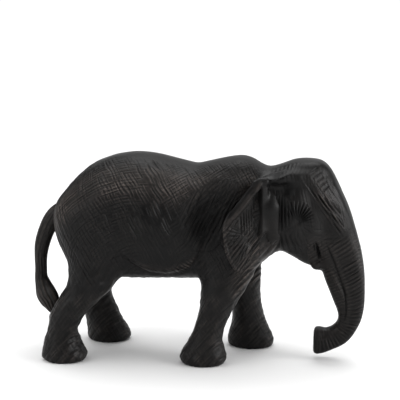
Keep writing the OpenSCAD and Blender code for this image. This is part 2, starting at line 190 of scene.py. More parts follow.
# ------------------------------------------------------------------ distance fields
class Field:
    def __init__(self, lo, hi, h, band=8):
        self.h, self.band = h, band
        self.i0 = np.floor(np.array(lo) / h).astype(int)
        self.n = np.ceil(np.array(hi) / h).astype(int) - self.i0 + 1
        self.tf = vdb.createLinearTransform(voxelSize=h)
        self.lo = self.i0 * h

    def axes(self):
        a = [(self.i0[k] + np.arange(self.n[k])) * self.h for k in range(3)]
        return a[0][:, None, None], a[1][None, :, None], a[2][None, None, :]

    def of(self, pts, tri):
        # orientation: outside positive
        v = pts[tri]
        if np.einsum("ij,ij->i", v[:, 0], np.cross(v[:, 1], v[:, 2])).sum() < 0:
            tri = tri[:, ::-1]
        g = vdb.FloatGrid.createLevelSetFromPolygons(
            pts.astype(np.float32), triangles=np.ascontiguousarray(tri, dtype=np.uint32),
            transform=self.tf, halfWidth=float(self.band))
        a = np.empty(tuple(self.n), np.float32)
        g.copyToArray(a, ijk=tuple(int(v) for v in self.i0))
        return a

    def mesh(self, a):
        g = vdb.FloatGrid(float(self.band * self.h))
        g.copyFromArray(np.ascontiguousarray(a, dtype=np.float32), ijk=tuple(int(v) for v in self.i0))
        g.transform = self.tf
        g.gridClass = vdb.GridClass.LEVEL_SET
        p, t, q = g.convertToPolygons(isovalue=0.0, adaptivity=0.0)
        return np.array(p, float), np.array(q, np.int64).reshape(-1, 4)

    def normals(self, a, P):
        """Outward direction of the field at points P."""
        G = []
        f = (P - self.lo) / self.h
        f = np.clip(f, 1.01, np.array(self.n) - 2.02)
        i = np.floor(f).astype(int)
        w = f - i
        def at(d):
            s = 0
            for dx in (0, 1):
                for dy in (0, 1):
                    for dz in (0, 1):
                        ww = ((w[:, 0] if dx else 1 - w[:, 0]) * (w[:, 1] if dy else 1 - w[:, 1])
                              * (w[:, 2] if dz else 1 - w[:, 2]))
                        s = s + ww * a[i[:, 0] + dx + d[0], i[:, 1] + dy + d[1], i[:, 2] + dz + d[2]]
            return s
        for d in ((1, 0, 0), (0, 1, 0), (0, 0, 1)):
            G.append(at(d) - at(tuple(-x for x in d)))
        G = np.stack(G, 1)
        return G / np.maximum(np.linalg.norm(G, axis=1, keepdims=True), 1e-9)


def smin(a, b, k):
    h = np.clip(0.5 + 0.5 * (b - a) / k, 0, 1)
    return b * (1 - h) + a * h - k * h * (1 - h)


def smax(a, b, k):
    return -smin(-a, -b, k)


def blur(a, times=1):
    for _ in range(times):
        for ax in range(3):
            b = np.moveaxis(a, ax, 0)
            c = b.copy()
            c[1:-1] = 0.25 * b[:-2] + 0.5 * b[1:-1] + 0.25 * b[2:]
            a = np.moveaxis(c, 0, ax)
    return np.ascontiguousarray(a)


def capsule(F, p, q, r0, r1):
    X, Y, Z = F.axes()
    p, q = np.array(p, float), np.array(q, float)
    d = q - p
    t = np.clip(((X - p[0]) * d[0] + (Y - p[1]) * d[1] + (Z - p[2]) * d[2]) / d.dot(d), 0, 1)
    s = np.sqrt((X - p[0] - t * d[0]) ** 2 + (Y - p[1] - t * d[1]) ** 2 + (Z - p[2] - t * d[2]) ** 2)
    return (s - (r0 + (r1 - r0) * t)).astype(np.float32)


def seg_dist(px, pz, a, b):
    ax, az = a
    dx, dz = b[0] - ax, b[1] - az
    t = np.clip(((px - ax) * dx + (pz - az) * dz) / (dx * dx + dz * dz + 1e-9), 0, 1)
    return np.hypot(px - ax - t * dx, pz - az - t * dz), t


def crest_field(F):
    """Signed distance, in the XZ plane, to the outline of the back and face."""
    X, _, Z = F.axes()
    x, z = X[:, 0, 0][:, None], Z[0, 0, :][None, :]
    C = fine(CREST, 3)
    d = np.full((F.n[0], F.n[2]), 1e9)
    for a, b in zip(C[:-1], C[1:]):
        d = np.minimum(d, seg_dist(x, z, a, b)[0])
    poly = np.concatenate([C, [(60, -60), (-140, -60), (-140, 60), (-113, 80)]])
    ins = np.zeros(d.shape, bool)
    for a, b in zip(poly, np.roll(poly, -1, 0)):
        cross = ((a[1] > z) != (b[1] > z)) & (x < (b[0] - a[0]) * (z - a[1]) / (b[1] - a[1] + 1e-12) + a[0])
        ins ^= cross
    d = np.where(ins, -d, d)
    lim = F.band * F.h
    return np.clip(d, -90.0, lim)[:, None, :].astype(np.float32)


# ------------------------------------------------------------------ noise and tool marks
def rnd(i, j, s):
    n = (np.asarray(i).astype(np.int64) * 374761393 + np.asarray(j).astype(np.int64) * 668265263
         + int(s) * 1274126177) & 0xFFFFFFFF
    n = ((n ^ (n >> 13)) * 1274126177) & 0xFFFFFFFF
    n = n ^ (n >> 16)
    return (n & 0xFFFFFF) / float(0xFFFFFF)


def noise(P, scale, s):
    f = P / scale
    i = np.floor(f).astype(np.int64)
    w = f - i
    w = w * w * (3 - 2 * w)
    out = 0
    for dx in (0, 1):
        for dy in (0, 1):
            for dz in (0, 1):
                ww = ((w[:, 0] if dx else 1 - w[:, 0]) * (w[:, 1] if dy else 1 - w[:, 1])
                      * (w[:, 2] if dz else 1 - w[:, 2]))
                out = out + ww * rnd(i[:, 0] + dx + 57 * (i[:, 2] + dz), i[:, 1] + dy, s)
    return out * 2 - 1


def step(x, a, b):
    t = np.clip((x - a) / (b - a), 0, 1)
    return t * t * (3 - 2 * t)


def strokes(u, v, pitch, length, w, keep, s, jit=0.3):
    """Short tool marks: u runs across them, v along them. Grooves and the ridges between, 0 to 1."""
    uu = u / pitch
    row = np.floor(uu)
    vv = v / length + 3.7 * rnd(row, 11, s)
    sg = np.floor(vv)
    fv = vv - sg
    off = (rnd(row, sg, s + 2) - 0.5) * jit
    tilt = (rnd(row, sg, s + 4) - 0.5) * 1.4 * jit
    du = uu - row - 0.5 - off - tilt * (fv - 0.5)
    win = np.sin(math.pi * fv) ** 0.5
    on = (rnd(row, sg, s + 1) < keep) * (0.5 + 0.5 * rnd(row, sg, s + 3)) * win
    return on * np.exp(-(du / w) ** 2), on * np.exp(-((np.abs(du) - 0.47) / 0.17) ** 2)


def marks(u, v, pitch, length, w, keep, s):
    return strokes(u, v, pitch, length, w, keep, s, 0.5)[0]


def cuts(x, z, lines, w):
    """Knife grooves along straight lines in the side view, deepest at their middle."""
    out = np.zeros(len(x))
    for (ax, az, bx, bz, dep) in lines:
        d, t = seg_dist(x, z, (ax, az), (bx, bz))
        out = np.maximum(out, dep * np.exp(-(d / w) ** 2) * (0.35 + 0.65 * np.sin(math.pi * np.clip(t, 0.04, 0.96))))
    return out


def hill(P, c, r, mirror=True):
    y = np.abs(P[:, 1]) if mirror else P[:, 1]
    return np.exp(-(((P[:, 0] - c[0]) / r[0]) ** 2 + ((y - c[1]) / r[1]) ** 2 + ((P[:, 2] - c[2]) / r[2]) ** 2))


def eye_lines():
    out = []
    c = (74.4, 109.4)
    for ang, r0, r1, dep in [
            (118, 4, 15, 0.8), (107, 3, 16.5, 1.1), (96, 2.6, 16.5, 1.2), (85, 2.4, 16, 1.3), (74, 2.2, 15.5, 1.4),
            (63, 2, 14.6, 1.5), (52, 2, 13.6, 1.5), (41, 2, 12.6, 1.4), (30, 2, 12, 1.3), (18, 2.4, 11.4, 1.0),
            (4, 4, 11, 0.6), (-16, 5, 12, 0.4), (-38, 5, 12, 0.35), (-62, 5.4, 12, 0.3), (-90, 5.4, 12, 0.3),
            (-118, 5.4, 13, 0.35), (-144, 5, 12, 0.35), (136, 6, 12, 0.4)]:
        a = math.radians(ang)
        out.append((c[0] + r0 * math.cos(a), c[1] + r0 * math.sin(a),
                    c[0] + r1 * math.cos(a), c[1] + r1 * math.sin(a), dep))
    return out


def brow_line(off, t0, t1, dep):
    dx, dz = 0.557, -0.831
    ox, oz = 78.6 + 0.831 * off, 138.4 + 0.557 * off
    return (ox + dx * t0, oz + dz * t0, ox + dx * t1, oz + dz * t1, dep)


CHEEK = [(58.9, 133, 59.0, 99, 1.3), (60.9, 129.4, 61.0, 105, 1.5), (63.0, 129.4, 63.2, 104, 1.6), (65.3, 127.6, 65.8, 106, 1.3),
         (67.6, 126, 68.4, 108, 1.0), (69.6, 125, 70.6, 112, 0.8),
         (59.4, 102, 61, 90, 0.9), (62, 101, 64, 87, 0.8), (65, 101, 68.6, 86, 0.55), (68.4, 101, 73.6, 85, 0.5),
         (72, 98, 78, 84, 0.4)]
BROW = [brow_line(*a) for a in (
    (1.5, 4, 15, 0.7), (1.8, 20, 31, 0.9), (1.5, 36, 46, 0.7), (4.1, 13, 26, 1.3), (3.7, 29, 37, 1.0),
    (6.6, 17, 31, 1.3), (6.0, 34, 43, 0.8), (9.0, 21, 33, 0.8))]
BROWX = [(82.6 + 2.3 * k, 145.6 - 3.4 * k, 87.4 + 2.1 * k, 148.6 - 3.2 * k, 0.55) for k in range(5)]
BROWR = [brow_line(*a) for a in ((0.2, -2, 22, 1.0), (0.4, 22, 49, 1.0), (2.7, 8, 30, 0.8), (2.8, 31, 48, 0.9),
                                 (4.9, 6, 24, 0.8), (5.0, 27, 46, 0.8), (7.1, 8, 30, 0.7))]
CROWN = [(50.4 + 2.75 * k, 151.6 + 0.1 * k, 48.5 + 2.75 * k, 145.2 + 0.1 * k, 0.75) for k in range(11)]
MOUTH = [(87.4, 98, 88.6, 91, 1.8), (88.6, 92, 90.4, 81, 2.3), (86.4, 94, 87.2, 86, 0.8),
         (91.4, 97, 91.8, 91, 0.5)]
FOLDS = [(84, 100, 93, 98.5, 0.5), (85, 104, 95, 103, 0.45), (91, 96, 104, 97.5, 0.6), (92, 92.5, 106, 94.4, 0.5),
         (80, 97, 84, 90, 0.4), (76, 98, 79, 88, 0.4), (71, 99, 73, 90, 0.35)]
EYE = eye_lines()
ARC = np.array([(-62, 96), (-55.2, 87.9), (-46, 79.6), (-36.4, 74.1), (-28, 71.4), (-21.9, 70.6), (-12, 72.6),
                (-3, 78), (4.3, 87), (9, 95)])


def body_relief(P, N):
    """Offset along the surface direction, mm (mostly inwards), how rubbed the ridges are with painted highlights
    along the belly edge, chest front and trunk streak, painted shade for grooves and hollows, and the fields that carry
    the fine scratches: across, along (mm) and weight, twice."""
    x, y, z = P.T
    ay = np.abs(y)
    n = len(x)
    side = step(np.abs(N[:, 1]) + 0.8 * np.abs(N[:, 0]) * (x < -80), 0.10, 0.36)
    back = np.where(x < -70, np.arctan2(np.maximum(-(x + 70), 0), np.maximum(ay, 1e-3)), 0)
    s = np.where(x < -70, -70 - 38 * back, x)
    t = z - 0.7 * ay
    wob = noise(P, 9.0, 5) * 0.9
    facet = step(N[:, 2], 0.93, 0.985) * step(z, 100, 120)
    facet = np.maximum(facet, step(N[:, 0], 0.9, 0.97) * step(x, 88, 98))
    torso = (1 - step(x, 40, 50)) * step(z, 50, 66)
    th = math.radians(-63)
    uA = s * math.sin(th) - t * math.cos(th) + wob
    vA = s * math.cos(th) + t * math.sin(th)
    cx, cz = -34.0, 54.0
    rr = np.hypot(s - cx, z - cz)
    uB = rr - 0.45 * ay + 0.6 * wob
    vB = 74 * np.arctan2(z - cz, -(s - cx))
    th2 = math.radians(41)
    uC = -s * math.sin(th2) + t * math.cos(th2) + 0.7 * wob
    vC = s * math.cos(th2) + t * math.sin(th2)
    rump = 1 - step(s, -48, -30)
    fore = step(s, -30, -12)
    zone = noise(P, 26.0, 21)
    hi = step(z, 88, 122)
    wA = (0.55 + 0.45 * step(zone, -0.5, 0.25)) * (0.6 + 0.4 * hi)
    wB = rump * (0.6 + 0.4 * hi)
    wC = fore * (0.7 + 0.3 * step(x, -8, 8)) * (0.75 + 0.25 * hi)
    sets = [(strokes(uA, vA, 3.05, 17, 0.25, 0.86, 31), wA), (strokes(uB, vB, 2.95, 21, 0.25, 0.92, 47), wB),
            (strokes(uC, vC, 3.1, 19, 0.25, 0.93, 59), wC),
            (strokes(-s * 0.25 + t, s, 3.2, 11, 0.24, 0.45, 83), 0.45 * (1 - 0.7 * hi))]
    amp = side * torso * (1 - facet)
    zc = np.interp(x, [-108.3, -99, -89.6, -80.4, -62.1, -48.2, -20.5, -2.1, 16.3, 30, 46, 60],
                   [120, 131.2, 140.4, 146.7, 153.7, 155.4, 150.9, 147.2, 151, 153, 147.4, 148])
    zb = zc - z
    flat = step(N[:, 2], 0.35, 0.85)
    mark = np.max([q[0] * w for q, w in sets], 0)
    lines = np.max([q[1] * w for q, w in sets[:3]], 0) * (1 - 0.7 * mark)
    cross = np.clip(sum(q[0] * w for q, w in sets[:3]), 0, 1.7)
    rel = (1 - 0.5 * flat) * (1 + 0.35 * hill(P, (14, 34, 118), (22, 16, 22)))
    dz = -amp * rel * (0.20 * mark + 0.16 * cross) + amp * rel * 0.08 * lines
    # light tool marks along the lower edge of the belly, with a painted highlight along that edge
    za = np.interp(x, ARC[:, 0], ARC[:, 1])
    onarc = np.exp(-((z - za - 1.2) / 3.0) ** 2) * step(x, -46, -34) * (1 - step(x, -6, 6)) * (ay > 15) * torso
    bel = strokes(x * 0.62 + z * 0.78, x, 2.5, 9, 0.25, 0.95, 71)
    dz += onarc * (0.35 + 0.6 * bel[1] - 0.7 * bel[0])
    # legs: light, sparse strokes; soft arcs over the toes
    leg = (1 - step(z, 50, 62)) * (x < 70)
    lx = np.where(x < -35, x + 88, x - 18)
    uL = -lx * 0.77 + z * 0.64 + y * 0.4
    vL = z * 0.77 + 0.64 * lx
    L1 = strokes(uL, vL, 3.2, 17, 0.25, 0.85, 91)
    L2 = strokes(lx * 0.87 + z * 0.5 + y * 0.4, z, 3.3, 14, 0.24, 0.7, 97)
    lg = step(z, 2.5, 9) * step(x + 200 * (x > -35), -125, -90)
    L3 = strokes(lx * 0.80 - z * 0.60 + 0.5 * wob, lx * 0.60 + z * 0.80, 5.4, 30, 0.16, 0.5, 163)
    low = 1 - step(z, 60, 84)
    legz = low * torso
    chip = noise(np.stack([uL, vL * 0.42, y * 0.7], 1), 2.3, 171)
    pits = np.clip(-chip - 0.1, 0, 1)
    dz -= np.maximum(leg, legz * 0.8) * (0.12 * np.maximum(L1[0], 0.8 * L2[0]) + 0.34 * L3[0] - 0.10 * L3[1]
                                         - (0.62 - 0.22 * (x > -35)) * np.where(y > 0, 0.5, 1.0) * chip)
    dz += 0.2 * amp * (1 - low) * noise(np.stack([x * 0.8 + z * 0.6, (z * 0.8 - x * 0.6) * 0.5, y * 0.7], 1), 2.6, 177)
    # stripes down the front of the chest
    ch = step(x, 24, 32) * (1 - step(x, 58, 64)) * step(z, 50, 58) * (1 - step(z, 92, 98)) * step(N[:, 0], 0.0, 0.3)
    cs = strokes(-0.772 * x + 0.636 * z + 0.2 * y, 0.636 * x + 0.772 * z, 3.2, 22, 0.25, 1.0, 67, 0.2)
    dz -= ch * (0.8 * cs[0] - 0.3 * cs[1])
    for cxy in ((-100.6, -27), (-77.4, 27), (5.2, -21.4), (36.8, 26)):
        ang = np.arctan2(y - cxy[1], x - cxy[0])
        near = (np.hypot(x - cxy[0], y - cxy[1]) < 22) & (x < 70)
        for k in (-1.05, -0.35, 0.35, 1.05):
            u = (ang - k) / 0.27
            arc = np.exp(-((z - (6.6 - 3.4 * u * u)) / 0.7) ** 2) * (np.abs(u) < 1.15)
            dz -= near * 0.3 * arc * step(z, 1.0, 2.6)
    # head
    head = step(x, 47, 53) * step(z, 70, 74)
    hs = head * step(np.abs(N[:, 1]), 0.25, 0.6)
    dz -= 0.08 * hs * marks(x * 0.9 + z * 0.3 + wob * 0.6, z, 2.0, 9, 0.22, 0.4, 113)
    kn = cuts(x, z, CHEEK, 0.8)
    ey = cuts(x, z, EYE, 0.62)
    cr = 0.6 * cuts(x, z, CROWN, 0.75)
    mo = cuts(x, z, MOUTH, 0.9) * (1 - step(z, 91, 95))
    fo = cuts(x, z, FOLDS, 0.6)
    dz -= hs * (1.2 * kn + 1.0 * ey + 1.2 * mo + 0.7 * fo)
    dz -= hs * (0.9 * hill(P, (77.6, 22, 112.4), (2.6, 12, 2.4)) + 1.1 * hill(P, (74.6, 22, 109.6), (2.4, 12, 2.2)))
    hb = head * step(np.abs(N[:, 1]), 0.12, 0.32)
    br = np.maximum(cuts(x, z, BROW, 0.6), cuts(x, z, BROWX, 0.7))
    bri = cuts(x, z, BROWR, 0.6)
    dz -= 1.0 * hb * br + 0.6 * hb * cr - 0.45 * hb * bri
    # trunk rings on the sides, long crease toward the back edge
    arc = np.zeros(n)
    lat = np.zeros(n)
    tk = (x > 82) & (z < 106)
    if tk.any():
        xs, zs = x[tk], z[tk]
        best = np.full(tk.sum(), 1e9)
        aa = np.zeros(tk.sum())
        ll = np.zeros(tk.sum())
        run = 0.0
        for a, b in zip(TRUNK_LINE[:-1], TRUNK_LINE[1:]):
            L = math.hypot(b[0] - a[0], b[1] - a[1])
            d, tt = seg_dist(xs, zs, a, b)
            sgn = np.sign((b[0] - a[0]) * (zs - a[1]) - (b[1] - a[1]) * (xs - a[0]))
            m = d < best
            best = np.where(m, d, best)
            aa = np.where(m, run + tt * L, aa)
            ll = np.where(m, d * sgn, ll)
            run += L
        arc[tk], lat[tk] = aa, ll
    onT = tk * step(104 - z, 0, 14)
    ts = onT * step(np.abs(N[:, 1]), 0.2, 0.5)
    sl = arc + 0.30 * lat * (1 - step(arc, 70, 95))
    ph = RING_PHASE(sl) * 1.18
    pitch = np.interp(sl, [0, 25, 60, 100, 140], [4.4, 4.0, 3.4, 2.9, 2.6])
    ringd = np.abs(ph - np.round(ph)) * pitch / 1.18
    jit = rnd(np.round(ph), (y > 0), 7)
    inner = np.interp(arc, [0, 30, 66, 90, 120], [-5.5, -5.0, -1.5, -3, -5])
    ring = (0.6 + 0.4 * jit) * step(lat, inner + 1.6, inner + 4.4) * (1 - step(lat, 9, 12.5)) \
        * np.exp(-(ringd / 0.62) ** 2)
    dz -= ts * 0.55 * ring
    # a raised streak down the trunk's underside; its colour is also painted as a highlight further down
    lit = cuts(x, z, [(98.4, 73, 109.4, 49.5, 1.0)], 1.1)
    dz += ts * 1.0 * lit - ts * 0.6 * cuts(x, z, [(100.6, 74, 111.4, 50.5, 1.0)], 0.8)
    crease = np.exp(-((lat - inner + 0.8) / 0.8) ** 2) * step(arc, 22, 34) * (1 - step(arc, 84, 96))
    dz -= ts * 0.8 * crease
    # the hollow behind the ear: deeper gouges in the relief, plus painted shade on it through the groove mask below
    deep = amp * np.clip(hill(P, (7, 36, 110), (13, 16, 17)) * 1.5 + 0.8 * hill(P, (22, 30, 128), (14, 16, 13)), 0, 1)
    dk, dr = strokes(x * 0.90 - z * 0.44 + 0.7 * wob, x * 0.44 + z * 0.90, 3.4, 19, 0.32, 0.92, 151)
    dz -= deep * (1.3 * dk - 0.3 * dr + 1.5 * hill(P, (6, 36, 109), (12, 16, 15)))
    dz += 0.10 * noise(P, 7.0, 3) * (1 - 0.6 * facet) + 0.16 * noise(P, 17.0, 4)
    brow = cuts(x, z, [(86.6, 141, 105, 108, 1.0), (88, 143, 92, 134, 1.0)], 6.0)
    patch = step(zone + 0.25 * noise(P, 7, 9), -0.75, 0.5)
    band = step(zb, 2, 8) * (1 - step(zb, 17, 34))
    # rubbed brown on the ridges and under the crest, plus painted highlights on the belly edge (onarc), the front of
    # the chest (ch) and the trunk streak (lit)
    wear_and_highlight = np.clip(amp * band * (0.25 + 0.75 * patch)
                  + head * brow * step(np.abs(N[:, 1]), 0.08, 0.25) * (0.35 + 0.65 * np.clip(1.3 * bri, 0, 1))
                  + 0.12 * head * hs * step(0.55 - kn - ey, 0, 0.5) * (1 - step(z, 128, 138))
                  + 0.10 * leg + 0.55 * np.maximum(leg, 0.8 * legz) * np.clip(chip, 0, 1) + 0.45 * np.maximum(leg, 0.8 * legz) * L3[1] + 0.34 * ts * (1 - ring)
                  + onarc * (0.5 + 1.6 * bel[1]) + ch * (0.65 + 0.8 * cs[1]) + 0.3 * ts * lit + 0.6 * hill(P, (-110, 0, 112), (7, 9, 8)), 0, 1)
    wear_and_highlight *= (1 - 0.85 * facet) * (1 - 0.8 * deep)
    wear_and_highlight += 0.30 * deep * dr
    # fine scratch fields
    p1 = 0.6 + 0.4 * step(noise(P, 8, 31), -0.35, 0.3)
    p2 = 0.5 + 0.5 * step(noise(P, 9, 37), -0.25, 0.35)
    w1 = p1 * (1 - 0.8 * deep) * (0.3 + 0.7 * step(z, 58, 82)) * amp * np.clip(wA * 1.15, 0, 1) * (1 - 0.35 * flat)
    f1 = np.stack([uA, vA, w1], 1)
    w2 = p2 * (1 - 0.8 * deep) * (0.2 + 0.8 * step(z, 58, 82)) * amp * np.where(rump > fore, wB, wC) * (1 - 0.35 * flat)
    f2 = np.stack([np.where(rump > fore, uB, uC + 300), np.where(rump > fore, vB, vC), w2], 1)
    m = deep > 0.28
    uD = x * 0.90 - z * 0.44 + 0.7 * wob
    f2[m] = np.stack([uD + 900, x * 0.44 + z * 0.90, 1.5 * deep], 1)[m]
    uE = x * 0.66 - z * 0.75 + 0.7 * wob
    f1[m] = np.stack([uE + 700, x * 0.75 + z * 0.66, 0.8 * deep * step(z, 108, 122)], 1)[m]
    m = leg > 0.01
    f1[m] = np.stack([uL, vL, 0.42 * leg * p1], 1)[m]
    f2[m] = np.stack([lx * 0.87 + z * 0.5 + y * 0.4, z, 0.24 * leg * p2], 1)[m]
    m = onarc > 0.08
    f1[m] = np.stack([x * 0.62 + z * 0.78, x, 0.9 * onarc], 1)[m]
    m = ch > 0.05
    f1[m] = np.stack([-0.772 * x + 0.636 * z + 0.2 * y + 500, 0.636 * x + 0.772 * z, 0.95 * ch], 1)[m]
    m = head > 0.01
    f1[m] = np.stack([x + 0.2 * z + wob, z, 0.16 * hs], 1)[m]
    f2[m] = np.stack([x * 0.83 + z * 0.557, x * 0.557 - z * 0.83, 0.7 * hb * brow], 1)[m]
    m = onT > 0.01
    f1[m] = np.stack([sl, lat, 0.35 * ts], 1)[m]
    # painted shade: darkens the colour in knife cuts, eye and mouth lines, pits, trunk rings and crease, leg chips, the
    # hollow behind the ear and the deep zone there
    pit_shade = np.maximum(hill(P, (66.8, 24, 133.6), (4.6, 12, 4.2)), 0.8 * hill(P, (77.4, 22, 111.8), (4.2, 12, 3.2)))
    hollow_shade = hill(P, (6, 36, 109), (13, 16, 16))
    groove = np.clip(hs * (0.95 * kn + 0.9 * ey + mo + 0.5 * fo + pit_shade) + hb * (0.75 * br + 0.6 * cr)
                     + ts * (0.6 * ring + 0.7 * crease) + amp * (0.3 * mark + 0.35 * hollow_shade) + deep * (0.6 + 0.4 * dk)
                     + 0.35 * np.maximum(leg, 0.8 * legz) * np.maximum(L3[0], 0.8 * pits) + 0.6 * ch * cs[0] + 0.6 * onarc * bel[0], 0, 1)
    return dz, wear_and_highlight, groove, f1, f2


_T = fine(FACE, 4)[:, :2][8:]
TRUNK_LINE = [tuple(p) for p in _T[::2]]
_s = np.linspace(0, 200, 400)
_p = np.interp(_s, [0, 25, 60, 100, 140], [4.4, 4.0, 3.4, 2.9, 2.6])
_ph = np.concatenate([[0], np.cumsum((1 / _p[:-1]) * np.diff(_s))])


def RING_PHASE(a):
    return np.interp(a, _s, _ph)


def form(P, N):
    """Large soft forms the lofts leave out, mm along the surface direction."""
    d = 0.0
    d = d - 2.2 * hill(P, (84, 19, 124), (6, 9, 13))          # temple hollow
    d = d - 1.6 * hill(P, (93, 16, 108), (6, 9, 9))
    d = d - 2.8 * hill(P, (66.8, 25, 133.6), (5.2, 9, 4.4))   # pit below the root ridge
    d = d - 0.9 * hill(P, (62.4, 25, 117), (3.0, 9, 14))      # hollow in front of the ear root
    d = d + 1.0 * hill(P, (76, 24, 118), (7, 8, 5))           # brow over the eye
    d = d - 1.1 * hill(P, (80, 23, 104), (5, 8, 5))           # under the eye
    d = d + 0.9 * hill(P, (72, 22, 93), (9, 9, 6))            # jowl
    d = d - 1.6 * hill(P, (56, 26, 118), (4.5, 8, 22))        # hollow in front of the ear
    d = d - 4.2 * hill(P, (6, 38, 109), (11, 12, 17))         # behind the ear
    d = d + 1.2 * hill(P, (22, 24, 138), (11, 12, 6))         # shoulder crest
    d = d - 1.2 * hill(P, (42, 26, 136), (5, 12, 10))         # neck hollow
    d = d - 0.9 * hill(P, (-8, 37, 84), (16, 10, 16))         # flank
    d = d - 1.2 * hill(P, (-48, 39, 76), (9, 9, 13))          # fold before the thigh
    d = d + 0.5 * hill(P, (-78, 34, 104), (20, 12, 22))       # thigh
    za = np.interp(P[:, 0], ARC[:, 0], ARC[:, 1])
    h = P[:, 2] - za
    w = step(P[:, 0], -60, -46) * (1 - step(P[:, 0], 0, 8)) * step(np.abs(P[:, 1]), 14, 24) * step(P[:, 2], 60, 64)
    d = d + w * (1.3 * np.exp(-((h - 3.4) / 3.6) ** 2) - 1.1 * np.exp(-((h + 2.6) / 2.2) ** 2))
    # crease of the groin and the one behind the elbow
    g = np.minimum(seg_dist(P[:, 0], P[:, 2], (-52.5, 91), (-60.5, 74.4))[0], seg_dist(P[:, 0], P[:, 2], (-60.5, 74.4), (-66, 64))[0])
    g2 = np.minimum(seg_dist(P[:, 0], P[:, 2], (7, 96), (4.6, 84))[0], seg_dist(P[:, 0], P[:, 2], (4.6, 84), (7, 68))[0])
    d = d - (1.3 * np.exp(-(g / 2.4) ** 2) + 1.2 * np.exp(-(g2 / 2.6) ** 2)) * step(np.abs(P[:, 1]), 16, 26)
    return d


# ------------------------------------------------------------------ mesh helpers
def to_object(name, V, F, wear_and_highlight=None, sharp=None):
    me = bpy.data.meshes.new(name)
    W = (V + np.array([MID, 0, 0])) * 0.001
    lo, hi = np.array(CAD[0]) + 2e-5, np.array(CAD[1]) - 2e-5
    lo[2] = CAD[0][2]
    W = np.minimum(np.maximum(W, lo), hi)
    me.from_pydata(W.tolist(), [], [list(f) for f in F])
    me.validate()
    me.update()
    ob = bpy.data.objects.new(name, me)
    bpy.context.scene.collection.objects.link(ob)
    return ob


def volume_sign(V, F):
    a, b, c = V[F[:, 0]], V[F[:, 1]], V[F[:, 2]]
    d = V[F[:, 3]]
    return (np.einsum("ij,ij->i", a, np.cross(b, c)) + np.einsum("ij,ij->i", a, np.cross(c, d))).sum()


def part_of(V, F, keep, planes, sub=0):
    """Faces whose middle passes keep, cut by planes (point, normal; the normal side goes)."""
    cen = V[F].mean(1)
    m = keep(cen)
    used, inv = np.unique(F[m], return_inverse=True)
    me = bpy.data.meshes.new("tmp")
    me.from_pydata(V[used].tolist(), [], inv.reshape(-1, 4).tolist())
    bm = bmesh.new()
    bm.from_mesh(me)
    for co, no in planes:
        bmesh.ops.bisect_plane(bm, geom=bm.verts[:] + bm.edges[:] + bm.faces[:], dist=1e-4,
                               plane_co=co, plane_no=no, clear_outer=True)
    # drop slivers at the rim
    bmesh.ops.dissolve_degenerate(bm, dist=0.02, edges=bm.edges[:])
    bm.to_mesh(me)
    bm.free()
    if sub:
        ob = bpy.data.objects.new("tmp", me)
        bpy.context.scene.collection.objects.link(ob)
        md = ob.modifiers.new("s", "SUBSURF")
        md.levels = sub
        md.boundary_smooth = "PRESERVE_CORNERS"
        dg = bpy.context.evaluated_depsgraph_get()
        m2 = bpy.data.meshes.new_from_object(ob.evaluated_get(dg))
        bpy.data.objects.remove(ob)
        me = m2
    return me


def slim(me, ratio):
    ob = bpy.data.objects.new("tmp", me)
    bpy.context.scene.collection.objects.link(ob)
    md = ob.modifiers.new("d", "DECIMATE")
    md.ratio = ratio
    dg = bpy.context.evaluated_depsgraph_get()
    m2 = bpy.data.meshes.new_from_object(ob.evaluated_get(dg))
    bpy.data.objects.remove(ob)
    return m2


def finish_piece(name, me, node, disp, slot_mat):
    n = len(me.vertices)
    V = np.empty(n * 3)
    me.vertices.foreach_get("co", V)
    V = V.reshape(-1, 3)
    off, wear_and_highlight, groove_and_hollow_shade, Nn, f1, f2 = disp(V)
    W = V + Nn * off[:, None]
    W = (W + np.array([MID, 0, 0])) * 0.001
    lo, hi = np.array(CAD[0]) + 2e-5, np.array(CAD[1]) - 2e-5
    lo[2] = CAD[0][2]
    W = np.minimum(np.maximum(W, lo), hi)
    me.vertices.foreach_set("co", W.ravel())
    # the first carries the rubbed brown with painted highlights, the second painted shade in grooves and hollows
    for nm, val in (("wear_and_highlight", wear_and_highlight), ("cut", groove_and_hollow_shade)):
        at = me.attributes.new(nm, "FLOAT", "POINT")
        at.data.foreach_set("value", val.astype(np.float32))
    for nm, val in (("f1", f1), ("f2", f2)):
        at = me.attributes.new(nm, "FLOAT_VECTOR", "POINT")
        at.data.foreach_set("vector", np.ascontiguousarray(val, dtype=np.float32).ravel())
    if n > 110000:
        me = slim(me, 0.72)
    me.name = name
    bm = bmesh.new()
    bm.from_mesh(me)
    rim = [e for e in bm.edges if e.is_boundary]
    for f in bm.faces:
        f.smooth = True
    if rim:
        new = bmesh.ops.holes_fill(bm, edges=rim, sides=0)["faces"]
        for e in rim:
            e.smooth = False
        for f in new:
            f.smooth = False
        bmesh.ops.triangulate(bm, faces=new)
    bmesh.ops.recalc_face_normals(bm, faces=bm.faces[:])
    open_edges = sum(1 for e in bm.edges if not e.is_manifold)
    bm.to_mesh(me)
    bm.free()
    me.update()
    ob = bpy.data.objects.new(name, me)
    bpy.context.scene.collection.objects.link(ob)
    me.materials.append(slot_mat)
    tris = sum(len(p.vertices) - 2 for p in me.polygons)
    print("piece", name, "tris", tris, "open edges", open_edges)
    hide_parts(node)
    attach(ob, "root")
    return ob


# ------------------------------------------------------------------ materials
def new_mat(name):
    m = bpy.data.materials.new(name)
    m.use_nodes = True
    nt = m.node_tree
    nt.nodes.clear()
    return m, nt


def node(nt, kind, **kw):
    n = nt.nodes.new(kind)
    for k, v in kw.items():
        if k.startswith("i_"):
            n.inputs[k[2:].replace("_", " ")].default_value = v
        else:
            setattr(n, k, v)
    return n


